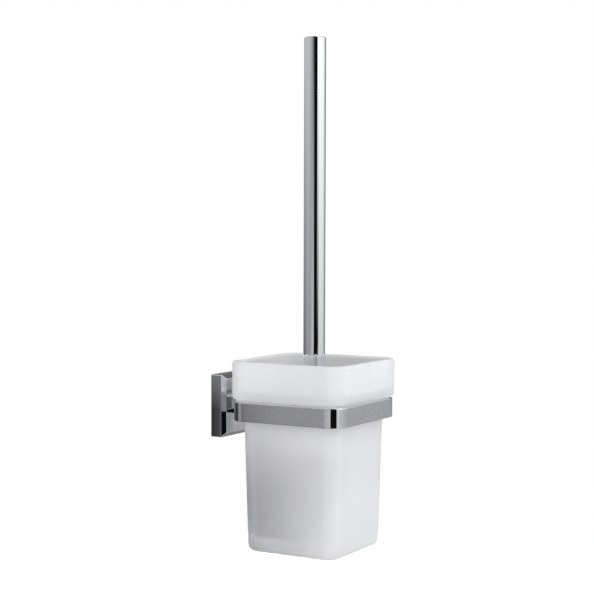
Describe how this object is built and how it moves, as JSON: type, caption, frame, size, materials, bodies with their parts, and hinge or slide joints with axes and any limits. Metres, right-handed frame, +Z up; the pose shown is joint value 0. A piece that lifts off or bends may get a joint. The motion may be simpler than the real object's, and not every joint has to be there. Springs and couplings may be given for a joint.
{
  "type": "toilet brush holder",
  "caption": "Wall-mounted toilet brush holder: square chrome ring on a rosette holds a frosted glass tumbler, with a lift-out brush on a slim round chrome handle.",
  "frame": {"origin": "on the wall plane, at the centre of the wall bracket's back face, level with the middle of the ring's height", "axes": "+Z up, +Y into the wall, +X to the right when facing the wall"},
  "size_m": [0.095, 0.123, 0.375],
  "materials": {
    "chrome": "polished",
    "handle_chrome": "polished",
    "bracket_steel": "zinc plated",
    "screw_steel": "satin",
    "brass": "machined",
    "clear_liner": "clear",
    "frosted_glass": "sandblasted",
    "rubber": "matte",
    "white_plastic": "satin",
    "bristles": "matte"
  },
  "bodies": {
    "wall_mount": {"wall_bracket": "bracket_steel", "rosette": "chrome", "grub_screw": "screw_steel", "arm": "chrome", "arm_screw": "screw_steel", "arm_washer": "screw_steel", "arm_dowels": "screw_steel", "support_ring": "chrome", "ring_screws": "screw_steel", "glass_liner": "clear_liner"},
    "glass": {"glass_tumbler": "frosted_glass"},
    "brush_head": {"head_core": "white_plastic", "head_insert": "brass", "side_bristles": "bristles", "end_bristles": "bristles"},
    "washer": {"sealing_washer": "rubber"},
    "handle": {"handle_tube": "handle_chrome", "handle_cap": "handle_chrome", "handle_plug": "brass", "handle_stud": "screw_steel"}
  },
  "joints": [
    {"name": "glass_lift", "type": "slide", "parent": "wall_mount", "child": "glass", "axis": [0, 0, 1], "range_m": [0, 0.14]},
    {"name": "brush_lift", "type": "slide", "parent": "glass", "child": "brush_head", "axis": [0, 0, 1], "range_m": [0, 0.15]},
    {"name": "washer_rise", "type": "slide", "parent": "brush_head", "child": "washer", "axis": [0, 0, 1], "range_m": [0, 0.01]},
    {"name": "handle_turn", "type": "hinge", "parent": "washer", "child": "handle", "pos_m": [0, -0.0755, 0], "axis": [0, 0, 1], "range_deg": [0, 2870]}
  ],
  "couplings": [
    {"joint": "washer_rise", "follows": "handle_turn", "m_per_rad": 0.00019894}
  ]
}
